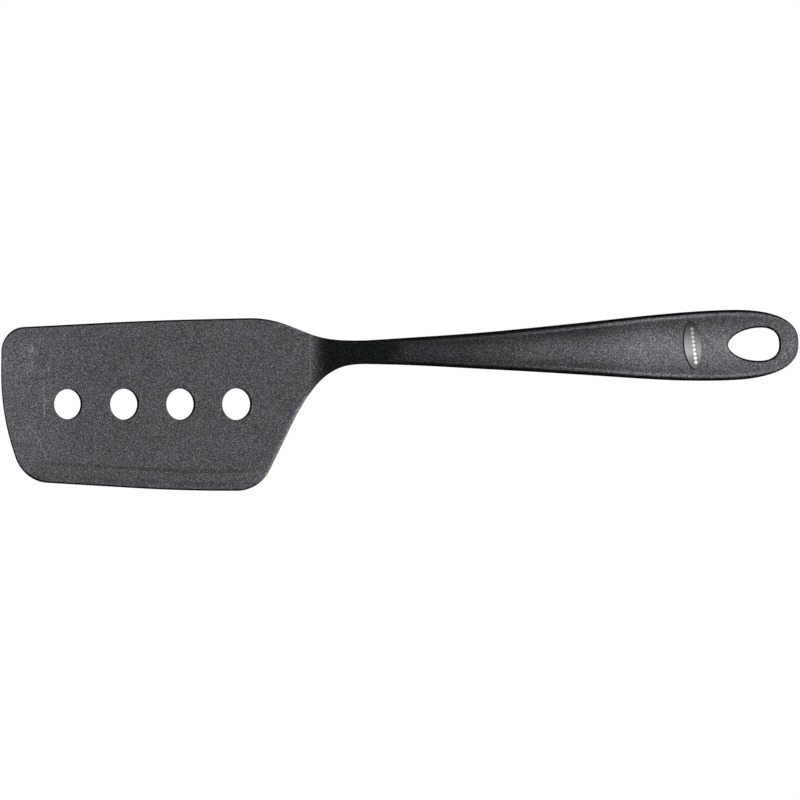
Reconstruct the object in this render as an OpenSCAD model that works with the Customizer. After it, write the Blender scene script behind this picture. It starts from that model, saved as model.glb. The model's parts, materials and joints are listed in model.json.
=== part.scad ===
// Grill spatula: a flexible perforated blade, a moulded handle around its tang, and a polished oval badge.
// Frame: +Z up, +X from the front edge of the blade towards the hanging eye, +Y towards the near long edge,
// origin under the middle of the tool on the table it lies on. The blade rises forward and the grip arches
// back down to the table.

/* [Blade] */
// Length of the blade along its face, from the front edge to the root line
blade_length = 123.4; // [105:0.1:140]
// Width of the blade at its widest, between its two long edges
blade_width = 64.1; // [56:0.1:72]
// Distance from the middle line of the grip to the near long edge of the blade
blade_near = 12.4; // [10:0.1:16]
// Angle at which the blade rises forward from the root
blade_rise = 23; // [16:1:30]
// Thickness of the raised middle panel
blade_thick = 2; // [1.6:0.1:2.6]
// Step from the middle panel down to the margin along the far long edge
margin_step = 0.25; // [0.1:0.05:0.5]
// Width of the margin along the far long edge
margin_width = 7.3; // [5:0.1:10]
// Length of the bevelled lip behind the front edge
lip_length = 30; // [20:0.5:34]
// Thickness of the lip at the front edge
lip_thick = 0.9; // [0.6:0.1:1.2]

/* [Drain holes] */
// Number of drain holes
hole_count = 4; // [1:1:4]
// Diameters of the drain holes, from the front edge back
hole_diameters = [11.2, 11.5, 11.6, 11.8]; // [6:0.1:13]
// Distance from the front edge to the first hole
hole_first = 26.5; // [22:0.1:30]
// Spacing of the holes along the blade
hole_pitch = 22.6; // [18:0.1:23]
// Distance from the near long edge to the line of holes
hole_line = 32; // [24:0.1:38]

/* [Handle] */
// Length of the handle seen from above, from the root line to its end
handle_length = 181.1; // [165:0.1:200]
// Width of the neck
neck_width = 8.8; // [7.5:0.1:11]
// Width of the grip at its widest
grip_width = 26.1; // [22:0.1:30]
// Angle between the middle line of the grip and the line of holes
grip_yaw = 1.2; // [0:0.1:3]
// Sideways bow of the middle line of the grip
grip_bow = 0.38; // [0:0.02:0.6]
// Angle at which the neck climbs out of the root bend
neck_rise = 19; // [16:1:30]
// Angle of the grip where it leaves the neck
shoulder_rise = 9.5; // [8:0.5:14]
// Angle of the grip at its crown
crown_rise = -0.5; // [-2:0.5:3]
// Downward angle behind the crown
back_fall = 10.5; // [6:0.5:12]
// Downward angle at the end of the grip
end_fall = 16; // [12:0.5:18]
// Thickness of the grip at its crown
grip_thick = 11.2; // [9:0.1:13]
// Thickness of the neck
neck_thick = 7.4; // [6.5:0.1:8.5]
// Depth of the dished top of the grip below its rim
dish_depth = 1.3; // [0.6:0.1:1.6]
// Distance from the side of the grip to the crest of its rim
rim_width = 2; // [1.4:0.1:2.4]
// Squareness of the end of the grip, where 2 is a plain ellipse
end_power = 2.5; // [2:0.1:3]

/* [Hanging eye] */
// Length of the eye along the grip
eye_length = 18.9; // [14:0.1:21]
// Width of the eye across the grip
eye_width = 12.2; // [9:0.1:13]
// Distance from the end of the grip to the back edge of the eye
eye_back = 7; // [6.5:0.1:8.5]
// Lean of the axis of the eye
eye_lean = 4; // [0:1:10]
// Draft of the wall of the eye, opening up and down from its narrow middle
eye_draft = 5; // [0:0.5:6]
// Turn of the eye on the face of the grip
eye_turn = 2; // [0:0.5:6]

/* [Badge] */
// Size of the oval badge across the grip
badge_across = 17.4; // [14:0.1:19]
// Size of the oval badge along the grip
badge_along = 6.7; // [5:0.1:8]
// Turn of the badge on the face of the grip
badge_turn = 7; // [0:0.5:8]
// Thickness of the badge at its middle
badge_thick = 1.3; // [1:0.1:1.6]

/* [Tang] */
// Width of the tang that the neck is moulded around
tang_width = 5; // [4:0.1:5.5]
// Thickness of the tang
tang_thick = 1.2; // [1:0.1:1.3]
// Length of the straight end of the tang inside the neck
tang_length = 15; // [11:0.5:16]
// Clearance between pieces that meet
gap = 0.02; // [0.01:0.01:0.05]

/* [Hidden] */
$fn = 64;
nylon = [0.31, 0.315, 0.325];
nylon_dark = [0.25, 0.255, 0.265];
polish = [0.42, 0.42, 0.43];

// ---- general helpers ----
function unit(v) = v / norm(v);
function cross_2d(a, b) = a[0] * b[1] - a[1] * b[0];
function signed_pow(x, power) = sign(x) * abs(x) ^ power;
function reversed(list) = [for (i = [len(list) - 1 : -1 : 0]) list[i]];

// Evenly spaced values after start, up to and including end.
function span(start, end, count) =
    [for (i = [1 : count]) let (t = i / count) start * (1 - t) + end * t];

// Corner of a polygon between prev and next, rounded by an arc; a zero radius leaves it sharp.
function arc_corner(prev, corner, next, radius) =
    radius <= 0 ? [corner] :
    let (
        to_prev = unit(prev - corner),
        to_next = unit(next - corner),
        half = acos(min(1, max(-1, to_prev * to_next))) / 2,
        side = cross_2d(to_prev, to_next) > 0 ? 1 : -1,
        start = corner + to_prev * radius / tan(half),
        centre = start + side * radius * [-to_prev[1], to_prev[0]],
        turn = 180 - 2 * half,
        from = atan2(start[1] - centre[1], start[0] - centre[0]),
        steps = max(4, ceil(turn / 7.5))
    )
    [for (i = [0 : steps])
        let (angle = from - side * turn * i / steps)
        centre + radius * [cos(angle), sin(angle)]];

// Outline of a polygon given by corners [x, y, radius].
function rounded(corners) =
    let (n = len(corners), points = [for (c = corners) [c[0], c[1]]])
    [for (i = [0 : n - 1])
        each arc_corner(points[(i + n - 1) % n], points[i], points[(i + 1) % n], corners[i][2])];

// Smooth value at x from a table of [x, value] rows.
function blend(table, x, i = 0) =
    x <= table[0][0] ? table[0][1] :
    i >= len(table) - 1 ? table[len(table) - 1][1] :
    x <= table[i + 1][0] ?
        let (t = (x - table[i][0]) / (table[i + 1][0] - table[i][0]))
        table[i][1] + (table[i + 1][1] - table[i][1]) * t * t * (3 - 2 * t)
    : blend(table, x, i + 1);

// Cubic at x over a run, from one value and slope to another.
function cubic(value_0, slope_0, value_1, slope_1, run, x) =
    let (t = x / run)
    value_0 * (2 * t ^ 3 - 3 * t ^ 2 + 1) + slope_0 * run * (t ^ 3 - 2 * t ^ 2 + t)
    + value_1 * (3 * t ^ 2 - 2 * t ^ 3) + slope_1 * run * (t ^ 3 - t ^ 2);

// Faces of a solid skinned over equal rings of points, stored ring after ring.
function skin_faces(ring_size, ring_count) = [
    [for (j = [ring_size - 1 : -1 : 0]) j],
    for (i = [0 : ring_count - 2], j = [0 : ring_size - 1])
        let (a = i * ring_size + j, b = i * ring_size + (j + 1) % ring_size)
        each [[a, b + ring_size, a + ring_size], [a, b, b + ring_size]],
    [for (j = [0 : ring_size - 1]) (ring_count - 1) * ring_size + j]
];

// ---- blade outline, flat: x is negative from the root line to the front edge, y from the grip's middle line ----
blade_far = blade_width - blade_near;
blade_scale = blade_length / 123.4;
root_near = 6.45;
root_far = -15.95;
// [x, y, corner radius]
blade_outline = rounded([
    [0.35 - blade_length, blade_near - 3.85, 9.3],
    [-63.4 * blade_scale, blade_near - 1, 1500],
    [-16.2, blade_near, 43],
    [0, root_near, 0],
    [0, root_far, 0],
    [-5.2, root_far - 8.05, 80],
    [-19.8, -blade_far, 16],
    [-51.4 * blade_scale, 0.05 - blade_far, 700],
    [9 - blade_length, 3.5 - blade_far, 14.5],
    [-blade_length, 29.5 - blade_far, 85]
]);

// Middle panel, running past the blade everywhere but at the far margin.
margin_y = margin_width - blade_far;
panel_outline = [
    [-blade_length - 5, blade_near + 2],
    [1, blade_near + 2],
    [1, margin_y - 1],
    [14 - blade_length, margin_y + 1.2],
    [-blade_length - 5, margin_y + 9]
];

// ---- side profile of the handle; h is the distance from the root line, seen from above ----
handle_scale = handle_length / 181.3;
bend_start = 0.45;
neck_start = 7.8;
neck_end = 25.9;
shoulder = 36;
// [h, slope of the top]; the top is an arc or a straight line between rows
spine = [
    [0, -blade_rise],
    [bend_start, -1],
    [neck_start, neck_rise],
    [neck_end, neck_rise],
    [shoulder, shoulder_rise],
    [105 * handle_scale, crown_rise],
    [128 * handle_scale, -back_fall],
    [handle_length, -end_fall]
];
function segment_rise(a, b) =
    a[1] == b[1] ? (b[0] - a[0]) * tan(a[1])
    : -(b[0] - a[0]) / (sin(b[1]) - sin(a[1])) * (cos(b[1]) - cos(a[1]));
function slope_at(h, i = 0) =
    i >= len(spine) - 2 || h <= spine[i + 1][0] ?
        let (a = spine[i], b = spine[i + 1], t = (h - a[0]) / (b[0] - a[0]))
        asin(sin(a[1]) + (sin(b[1]) - sin(a[1])) * t)
    : slope_at(h, i + 1);
function rise_at(h, i = 0, z = 0) =
    i >= len(spine) - 2 || h <= spine[i + 1][0] ? z + segment_rise(spine[i], [h, slope_at(h)])
    : rise_at(h, i + 1, z + segment_rise(spine[i], spine[i + 1]));

// Point at distance h, offset v across and n along the normal of the top face.
function place(h, v, n) =
    let (slope = slope_at(h))
    [h - n * sin(slope), middle_y(h) + v, rise_at(h) + n * cos(slope)];

// Moves children into the local frame at such a point.
module on_spine(h, v, n) {
    translate(place(h, v, n)) rotate([0, -slope_at(h), 0]) children();
}

// ---- plan of the handle ----
root_middle = -0.8;
// [h, sideways bow]
bow_table = [
    [27 * handle_scale, 0], [70 * handle_scale, grip_bow],
    [130 * handle_scale, grip_bow], [handle_length, 0.1 * grip_bow]
];
function middle_y(h) = root_middle + h * tan(grip_yaw) - blend(bow_table, h);

neck_half = neck_width / 2;
grip_half = grip_width / 2;
widen_start = 20;
widen_slope = 0.037;
belly = 104 * handle_scale;
belly_half = neck_half + 0.64 * (grip_half - neck_half);
belly_slope = 0.0853;
widest = 153.9 * handle_scale;
end_length = handle_length - widest;
function body_half(h) =
    h <= widen_start ? neck_half
    : h <= belly ?
        cubic(neck_half, widen_slope, belly_half, belly_slope, belly - widen_start, h - widen_start)
    : h <= widest ? cubic(belly_half, belly_slope, grip_half, 0, widest - belly, h - belly)
    : grip_half * (1 - min(1, (h - widest) / end_length) ^ end_power) ^ (1 / end_power);

// The neck flares to the width of the blade at the root line.
near_flare = root_near - root_middle - neck_half;
far_flare = root_middle - root_far - neck_half;
function flare(h, extra, run, power) = h >= run ? 0 : extra * (1 - h / run) ^ power;
// Half width on the near side where side is positive, otherwise on the far side.
function half_width(h, side) =
    body_half(h) + (side > 0 ? flare(h, near_flare, 22, 3.3) : flare(h, far_flare, 20, 2.85));

// How far out of the middle a point is: 0 on the middle line, 1 on the outline.
function outness(h, v) =
    h <= widest ? abs(v) / half_width(h, v)
    : (((h - widest) / end_length) ^ end_power + (abs(v) / grip_half) ^ end_power) ^ (1 / end_power);

// Distance from a point to the outline.
function inset(h, v) =
    h <= widest ?
        let (half = half_width(h, v))
        (half - abs(v)) * cos(atan((half_width(h + 0.1, v) - half) / 0.1))
    : let (
        r = max(0.001, outness(h, v)),
        gradient_x = ((h - widest) / end_length / r) ^ (end_power - 1) / end_length,
        gradient_y = (abs(v) / grip_half / r) ^ (end_power - 1) / grip_half
    )
    max(0, 1 - r) / norm([gradient_x, gradient_y]);

// ---- section of the handle, tables of [h, value] ----
// Depth behind the neck, shared by the next two tables
grip_depths = [
    [34, neck_thick + 1], [72 * handle_scale, grip_thick - 1.4],
    [106 * handle_scale, grip_thick], [handle_length, grip_thick - 4.6]
];
// Full depth at the middle line
depth_table = concat([[0, blade_thick], [8, 4.2], [18, neck_thick]], grip_depths);
// Depth of the web beside the middle rib under the root
web_table = concat([[0, blade_thick], [9, 2.6], [20, neck_thick]], grip_depths);
// Depth of the outline below the crest of the rim
flank_table = [[0, blade_thick / 2], [12, 1.4], [26, 2.4], [90, 2.4], [handle_length, 2.2]];
// Distance from the outline to the crest of the rim
rim_table = [
    [0, 0.3], [14, 1], [34, rim_width], [100 * handle_scale, rim_width],
    [158 * handle_scale, 0.92 * rim_width], [handle_length, 0.3 * rim_width]
];
// Depth of the dish
dish_table = [
    [28, 0], [60, 0.3 * dish_depth], [115 * handle_scale, 0.85 * dish_depth],
    [150 * handle_scale, dish_depth], [handle_length, 0.6 * dish_depth]
];
// Squareness of the underside
square_table = [[0, 14], [10, 8], [20, 2.6], [60, 2.3]];

// Height of the top and of the underside along the normal of the top face.
function top_n(h, v) =
    let (
        rim = blend(rim_table, h),
        half = half_width(h, v),
        edge = min(1, max(0, 1 - inset(h, v) / rim)),
        across_dish = h <= widest ? outness(h, v) * half / max(0.2, half - rim)
            : outness(h, v) / (1 - rim / grip_half)
    )
    -blend(flank_table, h) * (1 - (1 - edge ^ 3) ^ (1 / 3))
    - blend(dish_table, h) * (1 - min(1, across_dish) ^ 2.3);
function bottom_n(h, v) =
    let (
        r = min(1, outness(h, v)),
        flank = blend(flank_table, h),
        web = blend(web_table, h),
        depth = blend(depth_table, h)
    )
    -flank - (web - flank) * sqrt(max(0, 1 - r ^ blend(square_table, h)))
    - (depth - web) * (1 - r * r) ^ 3;

// ---- loft of the handle ----
// Points across a section, as fractions of the half width
half_across = [0, 0.18, 0.36, 0.53, 0.67, 0.78, 0.86, 0.92, 0.96, 0.985, 1];
half_steps = len(half_across) - 1;
across = [for (i = [half_steps : -1 : 1]) -half_across[i], each half_across];
stations = [
    gap,
    each span(0, bend_start, 3),
    each span(bend_start, neck_start, 6),
    each span(neck_start, neck_end, 12),
    each span(neck_end, shoulder, 6),
    each span(shoulder, widest, 28),
    for (i = [1 : 22]) widest + end_length * sin(87.5 * i / 22)
];
// Over the top from the far side to the near side, then back underneath.
function ring(h) = [
    for (s = across) let (v = s * half_width(h, s)) place(h, v, top_n(h, v)),
    for (i = [2 * half_steps - 1 : -1 : 1])
        let (s = across[i], v = s * half_width(h, s)) place(h, v, bottom_n(h, v))
];
loft_points = [for (h = stations) each ring(h)];
loft_faces = skin_faces(4 * half_steps, len(stations));

// ---- move from the root line to the frame of the tool ----
xs = [
    for (p = loft_points) p[0],
    for (p = blade_outline) p[0] * cos(blade_rise) - blade_thick * sin(blade_rise)
];
ys = [for (p = loft_points) p[1], for (p = blade_outline) p[1]];
lift = -min([for (p = loft_points) p[2]]);
shift = [-(min(xs) + max(xs)) / 2, -(min(ys) + max(ys)) / 2, lift];

// ---- tang ----
tang_y = -0.6;
tang_cover = 0.4; // depth of the tang below the top of the handle
tang_lap = 2; // run of the tang forward into the blade
key_places = [4.5, 10]; // keying holes, from the start of the neck
key_radius = 1.1;
tang_end = neck_start + tang_length * cos(neck_rise);
tang_path = [0, bend_start, each span(bend_start, neck_start, 11)];
function side_point(h, n) = let (p = place(h, 0, n)) [p[0], p[2]];

// Side outline of the tang grown by grow, following the root bend into the neck.
function tang_side(grow) =
    let (
        up = -tang_cover + grow,
        down = -tang_cover - tang_thick - grow,
        start = tang_lap * [-cos(blade_rise), sin(blade_rise)],
        normal = [sin(blade_rise), cos(blade_rise)],
        finish = tang_end + grow * cos(neck_rise)
    )
    [
        start + normal * down,
        for (h = tang_path) side_point(h, down),
        side_point(finish, down),
        side_point(finish, up),
        for (h = reversed(tang_path)) side_point(h, up),
        start + normal * up
    ];

// The tang grown by grow, with keying holes that the neck fills.
module tang(grow) {
    width = tang_width + 2 * grow;
    difference() {
        translate([0, tang_y + width / 2, 0]) rotate([90, 0, 0])
            linear_extrude(height = width) polygon(tang_side(grow));
        on_spine(neck_start, tang_y - middle_y(neck_start), 0)
            for (x = key_places)
                translate([x, 0, -tang_cover - tang_thick - 1])
                    cylinder(h = tang_thick + 2, r = key_radius - grow);
    }
}

// ---- blade ----
module blade_plate() {
    cut_width = blade_width + 10;
    cut_y = -blade_far - 5;
    difference() {
        translate([0, 0, -blade_thick]) linear_extrude(height = blade_thick) polygon(blade_outline);
        // the far margin lies a step below the middle panel
        difference() {
            translate([-blade_length - 5, cut_y, -margin_step])
                cube([blade_length + 5, cut_width, 2]);
            translate([0, 0, -1]) linear_extrude(height = 4) polygon(panel_outline);
        }
        // bevelled lip, thinning to the front edge
        translate([lip_length - blade_length, cut_y, 0])
            rotate([0, -atan((blade_thick - lip_thick) / lip_length), 0])
                translate([-lip_length * 1.5, 0, 0]) cube([lip_length * 1.5, cut_width, 3]);
        for (i = [0 : hole_count - 1])
            translate([
                hole_first + i * hole_pitch - blade_length, blade_near - hole_line, -blade_thick - 1
            ])
                cylinder(h = blade_thick + 2, d = hole_diameters[i]);
    }
}

module blade() {
    color(nylon) translate(shift) {
        rotate([0, blade_rise, 0]) blade_plate();
        tang(0);
    }
}

// ---- hanging eye, an egg with its point towards the blade, narrowest part way down the grip ----
eye_nose = 0.63 * eye_length;
eye_tail = 0.37 * eye_length;
eye_waist = -5;
eye_levels = [-22, eye_waist, 8];
eye_sides = 72;
function egg(a) = [
    cos(a) < 0 ? eye_nose * cos(a) : eye_tail * cos(a) ^ 0.9,
    eye_width / 2 * signed_pow(sin(a), cos(a) < 0 ? 1.12 : 0.8)
];
function egg_grown(a, grow) =
    let (tangent = unit(egg(a + 1) - egg(a - 1)))
    egg(a) + grow * [tangent[1], -tangent[0]];
eye_points = [
    for (z = eye_levels, i = [0 : eye_sides - 1])
        let (p = egg_grown((i + 0.5) * 360 / eye_sides, abs(z - eye_waist) * tan(eye_draft)))
        [p[0], p[1], z]
];
// These rings run the other way round from those of the handle.
eye_faces = [for (face = skin_faces(eye_sides, len(eye_levels))) reversed(face)];
module eye_cut() {
    translate(place(handle_length - eye_back - eye_tail, 0, 0))
        rotate([0, eye_lean, 0]) rotate([0, 0, eye_turn])
            polyhedron(points = eye_points, faces = eye_faces, convexity = 4);
}

// ---- badge ----
badge_h = 142.1 * handle_scale;
badge_v = 0.2;
badge_proud = 0.15; // height of its middle above the dish
dish_radius = (grip_half - rim_width) ^ 2 / (2 * dish_depth);
peg_radius = 1;
peg_depth = 2.2;
module on_badge() {
    on_spine(badge_h, badge_v, top_n(badge_h, badge_v)) rotate([0, 0, badge_turn]) children();
}

module oval(grow) {
    polygon([
        for (i = [0 : 59])
            [(badge_along / 2 + grow) * cos(6 * i), (badge_across / 2 + grow) * sin(6 * i)]
    ]);
}

module pegs(grow) {
    for (y = [-5, 5])
        translate([0, y, -badge_thick - peg_depth - grow])
            cylinder(h = peg_depth + 0.2 + grow, r = peg_radius + grow);
}

module badge() {
    color(polish) translate(shift) on_badge() {
        difference() {
            translate([0, 0, -badge_thick]) linear_extrude(height = badge_thick + 1.2) oval(0);
            // hollow top, matching the dish of the grip
            rotate([0, 0, -badge_turn]) translate([-10, -badge_v, dish_radius + badge_proud])
                rotate([0, 90, 0]) cylinder(h = 20, r = dish_radius, $fn = 128);
        }
        pegs(0);
    }
}

// ---- handle ----
module handle() {
    color(nylon_dark) translate(shift) difference() {
        polyhedron(points = loft_points, faces = loft_faces, convexity = 6);
        tang(gap);
        eye_cut();
        on_badge() {
            translate([0, 0, -badge_thick - gap]) linear_extrude(height = 6) oval(gap);
            pegs(gap);
        }
    }
}

blade();
handle();
badge();
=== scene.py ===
"""A moulded nylon hand tool: a flat blade with four holes, a long grip with a hanging eye, and a polished badge.

It lies along X. The blade runs from the root (x = 0) towards -X, the handle towards +X, and both rise from
there. The near side is +Y, where the blade reaches out less from the handle; the far side is -Y.
Sizes are millimetres until Skin.build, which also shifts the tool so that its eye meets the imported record.
The shaders work in metres.
"""
import json
import math

import bmesh
import bpy
import numpy as np
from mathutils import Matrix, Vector, kdtree
from mathutils.geometry import delaunay_2d_cdt


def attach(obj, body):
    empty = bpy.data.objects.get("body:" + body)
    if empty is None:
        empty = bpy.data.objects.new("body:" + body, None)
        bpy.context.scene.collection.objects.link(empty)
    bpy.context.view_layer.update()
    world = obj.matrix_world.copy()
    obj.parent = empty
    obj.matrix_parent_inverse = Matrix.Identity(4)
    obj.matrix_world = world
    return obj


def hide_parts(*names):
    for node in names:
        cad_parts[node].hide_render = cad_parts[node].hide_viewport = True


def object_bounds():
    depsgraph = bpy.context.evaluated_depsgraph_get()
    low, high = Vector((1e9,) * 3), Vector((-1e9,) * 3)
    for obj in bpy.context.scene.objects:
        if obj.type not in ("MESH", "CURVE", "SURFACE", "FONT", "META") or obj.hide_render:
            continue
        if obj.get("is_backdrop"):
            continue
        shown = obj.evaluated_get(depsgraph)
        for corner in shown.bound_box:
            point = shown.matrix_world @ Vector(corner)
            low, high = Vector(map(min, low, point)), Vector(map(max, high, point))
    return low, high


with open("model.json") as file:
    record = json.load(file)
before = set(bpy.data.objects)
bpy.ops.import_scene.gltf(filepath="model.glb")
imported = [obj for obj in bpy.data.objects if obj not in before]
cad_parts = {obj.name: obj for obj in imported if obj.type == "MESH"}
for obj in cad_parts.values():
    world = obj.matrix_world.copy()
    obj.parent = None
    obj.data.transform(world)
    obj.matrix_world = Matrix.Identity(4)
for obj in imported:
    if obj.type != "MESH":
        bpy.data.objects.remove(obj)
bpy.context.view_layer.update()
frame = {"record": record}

MM = 0.001

# ---------------------------------------------------------------- main sizes
BLADE_LENGTH, BLADE_WIDTH, BLADE_THICK = 123.4, 64.1, 2.0
BLADE_RISE = math.radians(23.0)
LIP_THICK = 0.9                         # at the blade's tip
TIP_X = -BLADE_LENGTH
NEAR_Y = 12.4
FAR_Y = NEAR_Y - BLADE_WIDTH
ROOT_NEAR_Y, ROOT_FAR_Y = 6.45, -15.95

HOLE_DIAMETERS = (11.2, 11.5, 11.6, 11.8)
HOLE_FIRST, HOLE_PITCH = 26.5, 22.6     # from the tip
HOLES = [(HOLE_FIRST + HOLE_PITCH * i + TIP_X, NEAR_Y - 32.0, diameter / 2)
         for i, diameter in enumerate(HOLE_DIAMETERS)]     # x, y, radius

HANDLE_LENGTH = 181.1
STRETCH = HANDLE_LENGTH / 181.3         # the stations were taken on a handle of 181.3
NECK_WIDTH, GRIP_WIDTH = 8.8, 26.1
HALF_NECK, HALF_GRIP = NECK_WIDTH / 2, GRIP_WIDTH / 2
NECK_DEPTH, GRIP_DEPTH = 7.4, 11.2
SPINE_ROOT_Y = -0.8
YAW, BOW = math.radians(1.2), 0.38      # the spine turns to +Y and bows to -Y
DISH, RIM_WIDTH = 1.3, 2.0              # hollow of the upper skin and its rounded rim
NECK_END, BELLY, PEAK = 20, 104 * STRETCH, 153.9 * STRETCH    # PEAK is the widest station
CAP_LENGTH = HANDLE_LENGTH - PEAK
CAP_POWER = 2.5                         # of the superellipse that ends the grip

EYE_LENGTH, EYE_WIDTH, EYE_BACK = 18.9, 12.2, 7.0
EYE_TURN, EYE_LEAN, EYE_DRAFT = math.radians(2.0), math.radians(4.6), math.radians(5.3)
EYE_NOSE, EYE_TAIL = 0.63 * EYE_LENGTH, 0.37 * EYE_LENGTH
EYE_WAIST = -5.0                        # height at which the drafted walls are narrowest
EYE_ALONG = HANDLE_LENGTH - EYE_BACK - EYE_TAIL

BADGE_WIDTH, BADGE_LENGTH, BADGE_THICK = 17.4, 6.7, 1.3
BADGE_TURN = math.radians(7.0)
BADGE_ALONG, BADGE_ACROSS = 142.1 * STRETCH, 0.2
GAP = 0.02                              # between touching pieces

# ---------------------------------------------------------------- stations along the handle
# side profile: distance along X, and slope of the spine there in degrees
PROFILE_ALONG = np.array([0, 0.45, 7.8, 25.9, 36, 105 * STRETCH, 128 * STRETCH, HANDLE_LENGTH])
PROFILE_SINE = np.sin(np.radians([-23, -1, 19, 19, 9.5, -0.5, -10.5, -16]))

# the tables below hold [distance along the handle, value]
BOWS = [[27 * STRETCH, 0], [70 * STRETCH, BOW], [130 * STRETCH, BOW], [HANDLE_LENGTH, 0.1 * BOW]]
GRIP_DEPTHS = [[34, NECK_DEPTH + 1], [72 * STRETCH, GRIP_DEPTH - 1.4],
               [106 * STRETCH, GRIP_DEPTH], [HANDLE_LENGTH, GRIP_DEPTH - 4.6]]
DEPTHS = [[0, BLADE_THICK], [8, 4.2], [18, NECK_DEPTH]] + GRIP_DEPTHS     # on the middle line
WEBS = [[0, BLADE_THICK], [9, 2.6], [20, NECK_DEPTH]] + GRIP_DEPTHS       # of the broad underside
FLANKS = [[0, BLADE_THICK / 2], [12, 1.4], [26, 2.4], [90, 2.4], [HANDLE_LENGTH, 2.2]]
RIMS = [[0, 0.3], [14, 1], [34, RIM_WIDTH], [75 * STRETCH, 1.16 * RIM_WIDTH],
        [100 * STRETCH, 1.13 * RIM_WIDTH], [128 * STRETCH, 1.03 * RIM_WIDTH],
        [158 * STRETCH, 0.92 * RIM_WIDTH], [HANDLE_LENGTH, 0.3 * RIM_WIDTH]]
DISHES = [[28, 0], [60, .3 * DISH], [115 * STRETCH, .85 * DISH], [150 * STRETCH, DISH],
          [HANDLE_LENGTH, .85 * DISH]]
SQUARENESS = [[0, 14], [10, 8], [20, 2.6], [60, 2.3]]      # power of the underside's section


# ---------------------------------------------------------------- curves
def smooth(x, start, end):
    t = np.clip((np.asarray(x, float) - start) / (end - start), 0, 1)
    return t * t * (3 - 2 * t)


def eased(rows, x):
    """Value at x of a table of [x, value], easing in and out at every row."""
    xs, values = np.array(rows, float).T
    x = np.clip(np.asarray(x, float), xs[0], xs[-1])
    i = np.clip(np.searchsorted(xs, x, side="right") - 1, 0, len(xs) - 2)
    t = (x - xs[i]) / (xs[i + 1] - xs[i])
    return values[i] + (values[i + 1] - values[i]) * t * t * (3 - 2 * t)


def hermite(start, start_slope, end, end_slope, length, x):
    t = x / length
    return (start * (2 * t ** 3 - 3 * t ** 2 + 1) + start_slope * length * (t ** 3 - 2 * t ** 2 + t)
            + end * (3 * t ** 2 - 2 * t ** 3) + end_slope * length * (t ** 3 - t ** 2))


def quarter_round(count):
    """Quarter round from the side to the top: (share inwards, share down)."""
    angles = np.linspace(0, math.pi / 2, count)
    return list(zip(1 - np.cos(angles), 1 - np.sin(angles)))


# ---------------------------------------------------------------- spine of the handle
def slope(along):
    return np.arcsin(np.interp(along, PROFILE_ALONG, PROFILE_SINE))


def climb(start, start_sine, end, end_sine):
    """Height gained over a stretch whose slope's sine changes evenly: a circular arc, or a line."""
    start_sine, end_sine = np.asarray(start_sine, float), np.asarray(end_sine, float)
    flat = np.abs(end_sine - start_sine) < 1e-9
    change = np.where(flat, 1.0, end_sine - start_sine)
    arc = -(end - start) / change * (np.sqrt(1 - end_sine ** 2) - np.sqrt(1 - start_sine ** 2))
    return np.where(flat, (end - start) * start_sine / np.sqrt(1 - start_sine ** 2), arc)


PROFILE_Z = np.concatenate([[0], np.cumsum(
    climb(PROFILE_ALONG[:-1], PROFILE_SINE[:-1], PROFILE_ALONG[1:], PROFILE_SINE[1:]))])


def spine_z(along):
    along = np.asarray(along, float)
    i = np.clip(np.searchsorted(PROFILE_ALONG, along, side="right") - 1, 0, len(PROFILE_ALONG) - 2)
    sine = np.interp(along, PROFILE_ALONG, PROFILE_SINE)
    return PROFILE_Z[i] + climb(PROFILE_ALONG[i], PROFILE_SINE[i], along, sine)


def spine_y(along):
    return SPINE_ROOT_Y + np.asarray(along, float) * math.tan(YAW) - eased(BOWS, along)


def handle_point(along, across, off):
    """Point across the spine (towards +Y) and off it (square to its slope, upwards)."""
    lean = slope(along)
    return np.stack(np.broadcast_arrays(along - off * np.sin(lean), spine_y(along) + across,
                                        spine_z(along) + off * np.cos(lean)), -1)


# ---------------------------------------------------------------- plan of the handle
def body_half(along):
    """Half width without the flare at the root."""
    along = np.asarray(along, float)
    belly_half = HALF_NECK + 0.64 * (GRIP_WIDTH - NECK_WIDTH) / 2
    belly_slope = .0853
    past_peak = np.clip((along - PEAK) / CAP_LENGTH, 0, 1)
    cap = HALF_GRIP * np.maximum(0, 1 - past_peak ** CAP_POWER) ** (1 / CAP_POWER)
    return np.select(
        [along <= NECK_END, along <= BELLY, along <= PEAK],
        [HALF_NECK + 0 * along,
         hermite(HALF_NECK, .037, belly_half, belly_slope, BELLY - NECK_END, along - NECK_END),
         hermite(belly_half, belly_slope, HALF_GRIP, 0, PEAK - BELLY, along - BELLY)], cap)


def half_width(along, side):
    """Half width on the near (side > 0) or far side, flared to meet the blade at the root."""
    near = np.asarray(side) > 0
    flare = np.where(near, ROOT_NEAR_Y - SPINE_ROOT_Y - HALF_NECK, SPINE_ROOT_Y - ROOT_FAR_Y - HALF_NECK)
    length = np.where(near, 22.0, 20.0)
    power = np.where(near, 3.3, 2.85)
    return body_half(along) + flare * np.maximum(0, 1 - along / length) ** power


def outness(along, across):
    """0 on the middle line, 1 on the outline."""
    along, across = np.asarray(along, float), np.asarray(across, float)
    body = np.abs(across) / np.maximum(1e-6, half_width(np.minimum(along, PEAK), across))
    cap = (np.clip((along - PEAK) / CAP_LENGTH, 0, 9) ** CAP_POWER
           + (np.abs(across) / HALF_GRIP) ** CAP_POWER) ** (1 / CAP_POWER)
    return np.where(along <= PEAK, body, cap)


def edge_cosine(along, side):
    """Cosine of the angle between the outline and the middle line."""
    gradient = (half_width(along + 0.1, side) - half_width(along, side)) / 0.1
    return 1 / np.sqrt(1 + gradient * gradient)


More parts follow.
